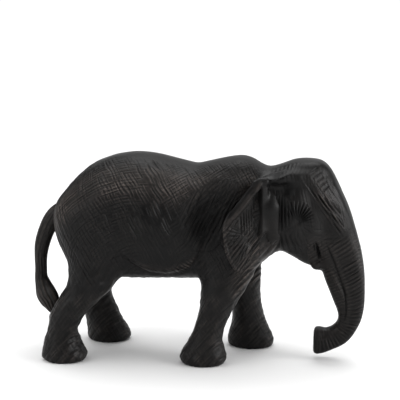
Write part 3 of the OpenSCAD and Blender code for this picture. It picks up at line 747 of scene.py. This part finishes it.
def black_wood(name, fine_scale=1.0, grain_axis="X"):
    m, nt = new_mat(name)
    L = nt.links.new
    out = node(nt, "ShaderNodeOutputMaterial")
    bs = node(nt, "ShaderNodeBsdfPrincipled")
    L(bs.outputs[0], out.inputs[0])
    bs.inputs["Specular IOR Level"].default_value = 0.14
    tc = node(nt, "ShaderNodeTexCoord")
    wear_and_highlight = node(nt, "ShaderNodeAttribute", attribute_name="wear_and_highlight")
    cut = node(nt, "ShaderNodeAttribute", attribute_name="cut")
    # wood pores and grain under the stain, stretched along the length
    mp = node(nt, "ShaderNodeMapping")
    mp.inputs["Scale"].default_value = {"X": (90, 700, 700), "Z": (700, 700, 90)}[grain_axis]
    L(tc.outputs["Object"], mp.inputs[0])
    grain = node(nt, "ShaderNodeTexNoise")
    grain.inputs["Scale"].default_value = 1.0
    grain.inputs["Detail"].default_value = 5
    grain.inputs["Roughness"].default_value = 0.6
    L(mp.outputs[0], grain.inputs["Vector"])
    blot = node(nt, "ShaderNodeTexNoise")
    blot.inputs["Scale"].default_value = 38
    blot.inputs["Detail"].default_value = 4
    L(tc.outputs["Object"], blot.inputs["Vector"])
    spk = node(nt, "ShaderNodeTexNoise")
    spk.inputs["Scale"].default_value = 420
    spk.inputs["Detail"].default_value = 3
    L(tc.outputs["Object"], spk.inputs["Vector"])
    def op(kind, p, q):
        o = node(nt, "ShaderNodeMath", operation=kind)
        for i, v in enumerate((p, q)):
            if isinstance(v, (int, float)):
                o.inputs[i].default_value = v
            else:
                L(v, o.inputs[i])
        return o.outputs[0]

    # crisp tool strokes along each field: rows across, broken into lengths, each a little askew
    def ramp(src, a0, a1, b0=0.0, b1=1.0):
        mr = node(nt, "ShaderNodeMapRange", interpolation_type="SMOOTHSTEP")
        mr.inputs["From Min"].default_value = a0
        mr.inputs["From Max"].default_value = a1
        mr.inputs["To Min"].default_value = b0
        mr.inputs["To Max"].default_value = b1
        L(src, mr.inputs[0])
        return mr.outputs[0]

    def one(kind, p):
        o = node(nt, "ShaderNodeMath", operation=kind)
        L(p, o.inputs[0])
        return o.outputs[0]

    def tooled(attr, pitch, length, keep, seed):
        at = node(nt, "ShaderNodeAttribute", attribute_name=attr)
        sx = node(nt, "ShaderNodeSeparateXYZ")
        L(at.outputs["Vector"], sx.inputs[0])
        U = op("MULTIPLY", sx.outputs[0], 1 / pitch)
        row = one("FLOOR", U)
        w1 = node(nt, "ShaderNodeTexWhiteNoise", noise_dimensions="1D")
        L(op("ADD", row, seed), w1.inputs["W"])
        V = op("ADD", op("MULTIPLY", sx.outputs[1], 1 / length), op("MULTIPLY", w1.outputs["Value"], 5.3))
        seg = one("FLOOR", V)
        fv = op("SUBTRACT", V, seg)
        cx = node(nt, "ShaderNodeCombineXYZ")
        L(op("ADD", row, seed), cx.inputs[0])
        L(op("MULTIPLY", seg, 1.37), cx.inputs[1])
        w2 = node(nt, "ShaderNodeTexWhiteNoise", noise_dimensions="2D")
        L(cx.outputs[0], w2.inputs["Vector"])
        rgb = node(nt, "ShaderNodeSeparateColor")
        L(w2.outputs["Color"], rgb.inputs[0])
        du = op("SUBTRACT", op("SUBTRACT", U, row), 0.5)
        du = op("ADD", du, op("MULTIPLY", op("SUBTRACT", rgb.outputs[0], 0.5), 0.34))
        du = op("ADD", du, op("MULTIPLY", op("MULTIPLY", op("SUBTRACT", rgb.outputs[1], 0.5), 0.46), op("SUBTRACT", fv, 0.5)))
        ad = one("ABSOLUTE", du)
        groove = ramp(ad, 0.26, 0.04)
        ridge = ramp(one("ABSOLUTE", op("SUBTRACT", ad, 0.42)), 0.15, 0.02)
        win = ramp(op("MULTIPLY", fv, op("SUBTRACT", 1.0, fv)), 0.0, 0.13)
        on = op("LESS_THAN", rgb.outputs[2], keep)
        k = op("MULTIPLY", op("MULTIPLY", win, on), op("MULTIPLY", sx.outputs[2], op("ADD", 0.45, op("MULTIPLY", w2.outputs["Value"], 0.55))))
        return op("MULTIPLY", groove, k), op("MULTIPLY", ridge, k)

    g1, r1 = tooled("f1", 2.75, 17, 0.84, 11.0)
    g2, r2 = tooled("f2", 2.65, 19, 0.88, 47.0)
    gr_all = op("MAXIMUM", g1, g2)
    sc_all = op("MAXIMUM", r1, r2)
    # stain: near black, slightly uneven
    base = node(nt, "ShaderNodeValToRGB")
    base.color_ramp.elements[0].position = 0.35
    base.color_ramp.elements[0].color = (0.0018, 0.0017, 0.0018, 1)
    base.color_ramp.elements[1].position = 0.7
    base.color_ramp.elements[1].color = (0.0040, 0.0038, 0.0037, 1)
    L(blot.outputs[0], base.inputs[0])
    # rubbed scratches and ridges, broken up by speckle; the rubbed colour also paints highlights on the belly edge,
    # chest front and trunk streak
    sr = node(nt, "ShaderNodeMapRange")
    sr.inputs["From Min"].default_value = 0.35
    sr.inputs["From Max"].default_value = 0.65
    L(spk.outputs[0], sr.inputs[0])
    wear_highlight_mix = op("ADD", op("MULTIPLY", wear_and_highlight.outputs["Fac"], 0.17), op("MULTIPLY", sc_all, op("ADD", op("MULTIPLY", wear_and_highlight.outputs["Fac"], 0.90), 0.17)))
    wear_highlight_mix = op("MULTIPLY", wear_highlight_mix, op("SUBTRACT", 1.0, op("MULTIPLY", gr_all, 0.85)))
    wear_highlight_mix = op("MULTIPLY", wear_highlight_mix, op("ADD", op("MULTIPLY", sr.outputs[0], 0.6), 0.55))
    mix = node(nt, "ShaderNodeMix", data_type="RGBA", clamp_factor=True)
    L(wear_highlight_mix, mix.inputs["Factor"])
    L(base.outputs[0], mix.inputs[6])
    mix.inputs[7].default_value = (0.088, 0.073, 0.065, 1)
    # painted shade: the cut mask and the fine grooves multiply the colour darker
    dark = node(nt, "ShaderNodeMix", data_type="RGBA", blend_type="MULTIPLY")
    L(op("MAXIMUM", cut.outputs["Fac"], op("MULTIPLY", gr_all, 0.6)), dark.inputs["Factor"])
    L(mix.outputs[2], dark.inputs[6])
    dark.inputs[7].default_value = (0.25, 0.25, 0.25, 1)
    L(dark.outputs[2], bs.inputs["Base Color"])
    rr = node(nt, "ShaderNodeMapRange")
    rr.inputs["From Min"].default_value = 0.3
    rr.inputs["From Max"].default_value = 0.7
    rr.inputs["To Min"].default_value = 0.38
    rr.inputs["To Max"].default_value = 0.52
    L(blot.outputs[0], rr.inputs[0])
    rgh = op("ADD", rr.outputs[0], op("MULTIPLY", cut.outputs["Fac"], 0.3))
    L(rgh, bs.inputs["Roughness"])
    # pores, then scratches
    b1 = node(nt, "ShaderNodeBump")
    b1.inputs["Strength"].default_value = 0.3
    b1.inputs["Distance"].default_value = 0.00012
    L(grain.outputs[0], b1.inputs["Height"])
    b2 = node(nt, "ShaderNodeBump")
    b2.inputs["Strength"].default_value = 1.0
    b2.inputs["Distance"].default_value = 0.0006
    L(op("ADD", op("MULTIPLY", spk.outputs[0], 0.12), op("SUBTRACT", op("MULTIPLY", sc_all, 0.35), gr_all)), b2.inputs["Height"])
    L(b1.outputs[0], b2.inputs["Normal"])
    L(b2.outputs[0], bs.inputs["Normal"])
    return m


def beech(name):
    m, nt = new_mat(name)
    L = nt.links.new
    out = node(nt, "ShaderNodeOutputMaterial")
    bs = node(nt, "ShaderNodeBsdfPrincipled")
    bs.inputs["Roughness"].default_value = 0.6
    L(bs.outputs[0], out.inputs[0])
    tc = node(nt, "ShaderNodeTexCoord")
    mp = node(nt, "ShaderNodeMapping")
    mp.inputs["Scale"].default_value = (900, 900, 120)
    L(tc.outputs["Object"], mp.inputs[0])
    nz = node(nt, "ShaderNodeTexNoise")
    nz.inputs["Scale"].default_value = 1.0
    nz.inputs["Detail"].default_value = 6
    L(mp.outputs[0], nz.inputs["Vector"])
    cr = node(nt, "ShaderNodeValToRGB")
    cr.color_ramp.elements[0].color = (0.36, 0.21, 0.1, 1)
    cr.color_ramp.elements[1].color = (0.6, 0.42, 0.24, 1)
    L(nz.outputs[0], cr.inputs[0])
    L(cr.outputs[0], bs.inputs["Base Color"])
    bp = node(nt, "ShaderNodeBump")
    bp.inputs["Strength"].default_value = 0.4
    bp.inputs["Distance"].default_value = 0.0002
    L(nz.outputs[0], bp.inputs["Height"])
    L(bp.outputs[0], bs.inputs["Normal"])
    return m


# ------------------------------------------------------------------ the main skin
H = 0.8
F = Field((-130, -46, -4), (130, 46, 160), H, 8)
def lift(x):
    # how much timber the flat along the spine takes off: wide over the shoulders and the crown
    return float(np.interp(x, [-110, -85, -50, -20, -2, 12, 24, 34, 44, 52, 62, 74, 88, 100],
                           [0.4, 0.9, 1.5, 1.2, 1.4, 2.9, 4.2, 4.2, 2.0, 0.6, 1.2, 3.2, 3.6, 2.4]))


body = F.of(*skin([ring_x([s[0], s[1] + lift(s[0]), s[2], s[3], s[4]], 72, 2 / 2.25) for s in fine(BODY, 5)]))
a = body
for T in (REAR_R, REAR_L):
    a = smin(a, F.of(*skin([ring_z(s, 48) for s in fine(T, 5)])), 7.8)
for T in (FRONT_R, FRONT_L):
    a = smin(a, F.of(*skin([ring_z(s, 48) for s in fine(T, 5)])), 7.2)
# stump the tail grows from
a = smin(a, capsule(F, (-99, 0, 113.5), (-108.6, 0, 109.4), 5.2, 4.6), 5.0)
head = F.of(*skin([ring_x([s[0], s[1] + lift(s[0]), s[2], s[3], s[4]], 64, 2 / 2.15) for s in fine(HEAD, 5)]))
Tj = fine(JAW, 5)
jaw = F.of(*skin([ring_p(Tj, j, 40, 1) for j in range(len(Tj))]))
Tf = fine(FACE, 6)
Tf[:, 3] += 0.5 + 0.8 * np.interp(Tf[:, 1], [28, 44, 78, 92], [0, 1, 1, 0]) * (Tf[:, 0] > 104)
dd = np.gradient(Tf[:, :2], axis=0)
dd /= np.linalg.norm(dd, axis=1, keepdims=True)
Tf[:, 0] -= dd[:, 1] * 0.5
Tf[:, 1] += dd[:, 0] * 0.5
face = F.of(*skin([ring_p(Tf, j, 56, 2 / 2.6) for j in range(len(Tf))]))
hd = smin(head, jaw, 4.0)
# lip
hd = smin(hd, capsule(F, (88.4, -5.8, 75.0), (90.2, 0, 74.2), 4.4, 4.6), 2.0)
hd = smin(hd, capsule(F, (88.4, 5.8, 75.0), (90.2, 0, 74.2), 4.4, 4.6), 2.0)
for sy in (-1, 1):
    # bony ridge above the ear root, running on to the temple
    dn = 4.5 if sy > 0 else 0.0
    hd = smin(hd, capsule(F, (53, sy * 22.0, 140.4 - dn), (61, sy * 22.0, 142.8 - dn), 3.8, 4.4), 5.0)
    hd = smin(hd, capsule(F, (61, sy * 22.0, 142.8 - dn), (74, sy * 19.6, 142.4 - 0.6 * dn), 4.4, 3.5), 6.0)
    # side ridge of the forehead down to the trunk
    hd = smin(hd, capsule(F, (82, sy * 17.2, 141.4), (94, sy * 15.4, 124), 3.6, 4.2), 5.0)
    hd = smin(hd, capsule(F, (94, sy * 15.4, 124), (106, sy * 12.0, 104), 4.2, 3.0), 4.5)
hd = smin(hd, face, 2.2)
a = smin(a, hd, 3.0)
X, Y, Z = F.axes()
a = smax(a, (crest_field(F) + Y * Y / 130.0).astype(np.float32), 1.6)
a = np.maximum(a, (0.0 - Z).astype(np.float32))
a = blur(a, 1)
V, Q = F.mesh(a)
if volume_sign(V, Q) < 0:
    Q = Q[:, ::-1]
V[:, 2] = np.maximum(V[:, 2], 0.0)
# flat soles again after the blur
low = V[:, 2] < 0.45
V[low, 2] = 0.0
N0 = F.normals(a, V)
V = V + N0 * form(V, N0)[:, None]
print("skin quads", len(Q))


def main_disp(P):
    Nn = F.normals(a, P)
    off, wear_and_highlight, groove, f1, f2 = body_relief(P, Nn)
    sole = P[:, 2] < 0.5
    off = np.where(sole, 0, off)
    Nn = Nn.copy()
    Nn[P[:, 2] < 2.5, 2] = 0
    return off, wear_and_highlight * (1 - groove), groove, Nn, f1, f2


MAT = black_wood("stained_wood_long", grain_axis="X")
MATZ = black_wood("stained_wood_upright", grain_axis="Z")
SUB = 1
me = part_of(V, Q, lambda c: (c[:, 2] > LEG_Z - 3) & (c[:, 0] < NECK_X + 3),
             [((0, 0, LEG_Z), (0, 0, -1)), ((NECK_X, 0, 0), (1, 0, 0))])
finish_piece("carved_torso", me, "torso", main_disp, MAT)
me = part_of(V, Q, lambda c: (c[:, 2] > TRUNK_Z - 3) & (c[:, 0] > NECK_X - 3),
             [((0, 0, TRUNK_Z), (0, 0, -1)), ((NECK_X, 0, 0), (-1, 0, 0))], SUB)
finish_piece("carved_head", me, "head", main_disp, MATZ)
me = part_of(V, Q, lambda c: (c[:, 2] < TRUNK_Z + 3) & (c[:, 0] > 76), [((0, 0, TRUNK_Z), (0, 0, 1))], SUB)
finish_piece("carved_trunk", me, "trunk", main_disp, MATZ)
for nm, nd, xs, ys in (("carved_leg_front_left", "front_left_leg", 1, 1), ("carved_leg_front_right", "front_right_leg", 1, -1),
                       ("carved_leg_rear_left", "rear_left_leg", -1, 1), ("carved_leg_rear_right", "rear_right_leg", -1, -1)):
    me = part_of(V, Q, lambda c: (c[:, 2] < LEG_Z + 3) & (c[:, 0] < 72) & (xs * (c[:, 0] + 35) > 0) & (ys * c[:, 1] > 0),
                 [((0, 0, LEG_Z), (0, 0, 1))])
    finish_piece(nm, me, nd, main_disp, MATZ)

# ------------------------------------------------------------------ ears
EDGE = [(54.5, 144.4), (49, 144.2), (44.6, 141.6), (38.2, 134), (33.2, 127), (28.4, 121), (23.8, 115.2), (21.9, 109),
        (21.8, 103), (22.4, 96), (24.4, 88), (26.6, 82.6), (29, 78), (31.4, 75), (34, 74.2)]
FRONT_EDGE = [(34, 74.2), (37.4, 78), (39.6, 82.6), (41.6, 87.6), (44.8, 93), (48.4, 98)]


def ear_rings(side):
    rings = []
    for s in fine(EAR, 5):
        A2, B2 = np.array([s[1], s[2]]), np.array([s[3], s[4]])
        m, d = (A2 + B2) / 2, B2 - A2
        h = np.linalg.norm(d) / 2
        u = d / (2 * h)
        v = np.array([-u[1], u[0]])
        w = 5.4 * s[5] / 2
        t = -np.arange(40) * 2 * math.pi / 40 * side
        p = m + u * h * sp(np.cos(t), 0.75)[:, None] + v * w * sp(np.sin(t), 0.8)[:, None]
        rings.append(np.stack([p[:, 0], side * p[:, 1], np.full(40, s[0])], 1))
    return rings


EARV = [(46.6 - 1.95 * k, 129.6 - 2.3 * k, 46.2 - 1.8 * k, 105.4 - 0.5 * k, 1.0) for k in range(7)]
EARF = []
for k in range(12):
    a_ = math.radians(150 + 9.2 * k + 3.2 * math.sin(5.1 * k))
    r_ = 15.5 + 4.5 * math.sin(k / 11 * math.pi) + 1.5 * math.sin(3.3 * k)
    q_ = 5.2 + 1.6 * math.sin(2.7 * k)
    EARF.append((42.2 + q_ * math.cos(a_), 101.4 + q_ * math.sin(a_), 42.2 + r_ * math.cos(a_),
                 101.4 + r_ * math.sin(a_) * (1.15 if k > 5 else 1), 0.95 if k % 2 else 0.7))


def ear_disp(P, Nn, side):
    x, y, z = P.T
    outer = step(Nn[:, 1] * side, 0.05, 0.45)
    d = np.full(len(x), 1e9)
    for p, q in zip(EDGE[:-1], EDGE[1:]):
        d = np.minimum(d, seg_dist(x, z, p, q)[0])
    df = np.full(len(x), 1e9)
    for p, q in zip(FRONT_EDGE[:-1], FRONT_EDGE[1:]):
        df = np.minimum(df, seg_dist(x, z, p, q)[0])
    upper = step(z, 106, 117)
    root = step(x, 47.6, 49.8) * step(z, 94, 98)          # the upright band at the root
    rimw = 6.2 * upper + 1.6 * (1 - upper)
    field = step(d, rimw, rimw + 1.6) * outer * (1 - root)
    toward = step(x, 38, 46) * step(z, 94, 106)
    off = -(1.9 * upper + 0.7 * (1 - upper) + 1.5 * toward) * field
    off += outer * upper * (0.9 * np.exp(-((d - rimw + 1.4) / 1.5) ** 2) - 0.35 * np.exp(-((d - 1.9) / 1.4) ** 2)) * (1 - root)
    off -= outer * (1 - root) * (1.0 * np.exp(-((x - 42) / 4.4) ** 2 - ((z - 100) / 4.4) ** 2)
                                 + 1.6 * np.exp(-((x - 41.6) / 3.6) ** 2 - ((z - 95.4) / 3.6) ** 2)
                                 + 1.4 * np.exp(-((x - 47.6) / 2.6) ** 2) * step(z, 97, 103) * (1 - step(z, 126, 134)))
    # shallow waves toward the rear edge
    off += 0.5 * outer * np.exp(-((x - 25.5) / 3.4) ** 2 - ((z - 104) / 7) ** 2)
    off -= 0.6 * outer * (1 - root) * np.exp(-((df - 1.6) / 1.6) ** 2) * (1 - step(z, 97, 103))
    kn = field * cuts(x, z, EARV, 0.62)
    fn = outer * (1 - root) * cuts(x, z, EARF, 0.62) * (1 - step(z, 104, 112))
    off -= 0.75 * kn + 0.75 * fn
    th = math.radians(52)
    k1 = strokes(-x * math.sin(th) + z * math.cos(th), x * math.cos(th) + z * math.sin(th), 2.3, 8, 0.24, 0.7, 131)
    off -= 0.16 * outer * (1 - upper) * k1[0] * step(d, 1.0, 3.0) * (1 - root)
    off -= 0.2 * (1 - outer) * marks(x * 0.9 + z * 0.4, z, 2.6, 10, 0.2, 0.6, 141)
    off += 0.10 * noise(P, 5.0, 15)
    ridge = upper * np.exp(-((d - rimw + 1.6) / 1.6) ** 2) * (1 - root)
    wear_and_highlight = np.clip(outer * (1.0 * ridge * step(noise(P, 6, 33), -0.8, 0.2) + 0.20 * (1 - upper) * (1 - 0.8 * fn)
                           + 0.5 * (1 - upper) * np.exp(-((np.minimum(d, df) - 1.0) / 1.1) ** 2)
                           + 0.24 * field * upper * (1 - kn) + 0.05), 0, 1)
    # painted shade: darker in the grooves, in the hollow strip beside the root band and over the recessed field
    groove_and_hollow_shade = np.clip(0.8 * kn + 0.7 * fn + 0.95 * outer * (1 - root) * step(x, 42.5, 45.5) * step(z, 95, 100) * (1 - step(z, 129, 135)) + 0.35 * upper * field, 0, 1)
    f1 = np.stack([x * 0.9 + 0.2 * z, z, 0.3 * outer * upper * field], 1)
    f2 = np.stack([-x * math.sin(th) + z * math.cos(th), x * math.cos(th) + z * math.sin(th),
                   outer * (1 - 0.7 * upper) * 0.6 * (1 - root)], 1)
    return off, wear_and_highlight, groove_and_hollow_shade, f1, f2


for side, nm, nd in ((1, "carved_ear_left", "ear_left"), (-1, "carved_ear_right", "ear_right")):
    G = Field((14, -46, 66), (66, 46, 148), 0.45, 8)
    G.i0[1] = int(math.floor((17 if side > 0 else -46) / G.h))
    G.n[1] = int(29 / G.h) + 2
    G.lo = G.i0 * G.h
    e = G.of(*skin(ear_rings(side)))
    e = smin(e, capsule(G, (51.5, side * 26, 140.0 - 2.4 * (side > 0)), (43.6, side * 29, 138.6 - 1.4 * (side > 0)), 2.9, 2.4), 1.5)
    # the root: an upright band that laps the side of the head
    band = smin(capsule(G, (54.2, side * 12.6, 134.5), (53.9, side * 17.8, 120), 8.8, 9.8),
                capsule(G, (53.9, side * 17.8, 120), (55.6, side * 15.6, 99), 9.8, 8.8), 1.0)
    band = np.maximum(band, 17.5 - side * G.axes()[1])
    e = smin(e, band, 2.4)
    if side > 0:
        e = smax(e, (G.axes()[2] - 139.0 + 0.0 * e).astype(np.float32), 3.0)
    e = blur(e, 2)
    EV, EQ = G.mesh(e)
    if volume_sign(EV, EQ) < 0:
        EQ = EQ[:, ::-1]
    me = bpy.data.meshes.new("t")
    me.from_pydata(EV.tolist(), [], EQ.tolist())

    def dsp(P, e=e, G=G, side=side):
        Nn = G.normals(e, P)
        off, wear_and_highlight, groove_and_hollow_shade, f1, f2 = ear_disp(P, Nn, side)
        return off, wear_and_highlight, groove_and_hollow_shade, Nn, f1, f2
    finish_piece(nm, me, nd, dsp, MATZ)

# ------------------------------------------------------------------ tail
G = Field((-130, -20, 24), (-98, 8, 122), 0.42, 8)
Tt = fine(TAIL, 6)
tl = G.of(*skin([ring_p(Tt, j, 32, 1) for j in range(len(Tt))]))
tl = blur(tl, 1)
TV, TQ = G.mesh(tl)
if volume_sign(TV, TQ) < 0:
    TQ = TQ[:, ::-1]
me = bpy.data.meshes.new("t")
me.from_pydata(TV.tolist(), [], TQ.tolist())


def tail_disp(P):
    Nn = G.normals(tl, P)
    x, y, z = P.T
    tuft = 1 - step(z, 50, 58)
    # hair grooves run down the tuft
    cxl = np.interp(z, Tt[::-1, 1], Tt[::-1, 0])
    cyl = np.interp(z, Tt[::-1, 1], Tt[::-1, 2])
    ang = np.arctan2(y - cyl, x - cxl)
    g = np.abs(np.sin(ang * 5 + 0.05 * z)) ** 0.6
    off = -0.75 * tuft * (1 - g)
    off -= 0.10 * (1 - tuft) * marks(ang * 4.4, z, 1.9, 12, 0.2, 0.5, 151)
    off += 0.08 * noise(P, 6, 19)
    f1 = np.stack([ang * 4.4, z, 0.5 + 0 * z], 1)
    # the colour is darkened in the deeper tuft grooves: painted shade
    return off, np.clip(0.45 + 0.2 * tuft, 0, 1), np.clip(-off - 0.3, 0, 1), Nn, f1, f1 * 0


finish_piece("carved_tail", me, "tail", tail_disp, MATZ)

# ------------------------------------------------------------------ dowels keep their CAD solids
BEECH = beech("beech_dowel")
for nd in ("neck_dowels", "leg_dowels", "trunk_dowel", "ear_dowels"):
    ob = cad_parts[nd]
    ob.data.materials.clear()
    ob.data.materials.append(BEECH)

# ------------------------------------------------------------------ stage, light, camera
fm, nt = new_mat("pale_floor")
out = node(nt, "ShaderNodeOutputMaterial")
bs = node(nt, "ShaderNodeBsdfPrincipled")
bs.inputs["Base Color"].default_value = (0.5, 0.5, 0.5, 1)
bs.inputs["Roughness"].default_value = 0.9
bs.inputs["Specular IOR Level"].default_value = 0.1
nt.links.new(bs.outputs[0], out.inputs[0])
bpy.ops.mesh.primitive_plane_add(size=3, location=(0, 0, -0.0002))
floor = bpy.context.object
floor.name = "floor"
floor.data.materials.append(fm)

sc = bpy.context.scene
w = bpy.data.worlds.new("studio")
sc.world = w
w.use_nodes = True
wn = w.node_tree
wn.nodes.clear()
wo = node(wn, "ShaderNodeOutputWorld")
bg1 = node(wn, "ShaderNodeBackground")
bg1.inputs["Color"].default_value = (1, 1, 1, 1)
bg1.inputs["Strength"].default_value = 0.13
bg2 = node(wn, "ShaderNodeBackground")
bg2.inputs["Color"].default_value = (1, 1, 1, 1)
bg2.inputs["Strength"].default_value = 1.05
lp = node(wn, "ShaderNodeLightPath")
mx = node(wn, "ShaderNodeMixShader")
wn.links.new(lp.outputs["Is Camera Ray"], mx.inputs[0])
wn.links.new(bg1.outputs[0], mx.inputs[1])
wn.links.new(bg2.outputs[0], mx.inputs[2])
wn.links.new(mx.outputs[0], wo.inputs[0])


def area(name, loc, target, size, energy, color=(1, 1, 1), size_y=None):
    l = bpy.data.lights.new(name, "AREA")
    l.energy = energy
    l.color = color
    l.shape = "RECTANGLE"
    l.size = size
    l.size_y = size_y or size
    o = bpy.data.objects.new(name, l)
    bpy.context.scene.collection.objects.link(o)
    o.location = loc
    o.rotation_euler = (Vector(target) - Vector(loc)).to_track_quat("-Z", "Y").to_euler()
    return o


for nm, power, wide, glossy in (("overhead", 3.4, 60, True), ("overhead_fill", 3.05, 140, False)):
    sun = bpy.data.lights.new(nm, "SUN")
    sun.energy = power
    sun.angle = math.radians(wide)
    so = bpy.data.objects.new(nm, sun)
    bpy.context.scene.collection.objects.link(so)
    so.rotation_euler = (Vector((0, 0, 0)) - Vector((0.0, 0.30, 1.0))).to_track_quat("-Z", "Y").to_euler()
    so.visible_glossy = glossy
area("front_softbox", (1.3, -0.3, 0.5), (0.03, 0, 0.09), 0.8, 23)
area("rear_softbox", (-1.25, -0.75, 0.75), (-0.08, 0, 0.1), 0.9, 14)
back = area("back_panel", (0.25, 1.45, 0.42), (0, 0, 0.12), 2.6, 4.6, size_y=0.75)
back.visible_camera = False
back.visible_diffuse = False

sc.view_settings.view_transform = "Standard"
sc.view_settings.look = "None"
sc.view_settings.exposure = 0
a0, e0, D0 = math.radians(8), math.radians(14), 0.850
cam = bpy.data.cameras.new("camera")
cam.sensor_width = 36
cam.lens = 1.316 * 850 / 400 * 36
cam.clip_start = 0.05
cam.clip_end = 50
co = bpy.data.objects.new("camera", cam)
bpy.context.scene.collection.objects.link(co)
C = Vector((math.sin(a0) * D0 * math.cos(e0) + MID / 1000, -math.cos(a0) * D0 * math.cos(e0), 0.078 + D0 * math.sin(e0)))
co.location = C
co.rotation_euler = (Vector((MID / 1000, 0, 0.120)) - C).to_track_quat("-Z", "Y").to_euler()
sc.camera = co
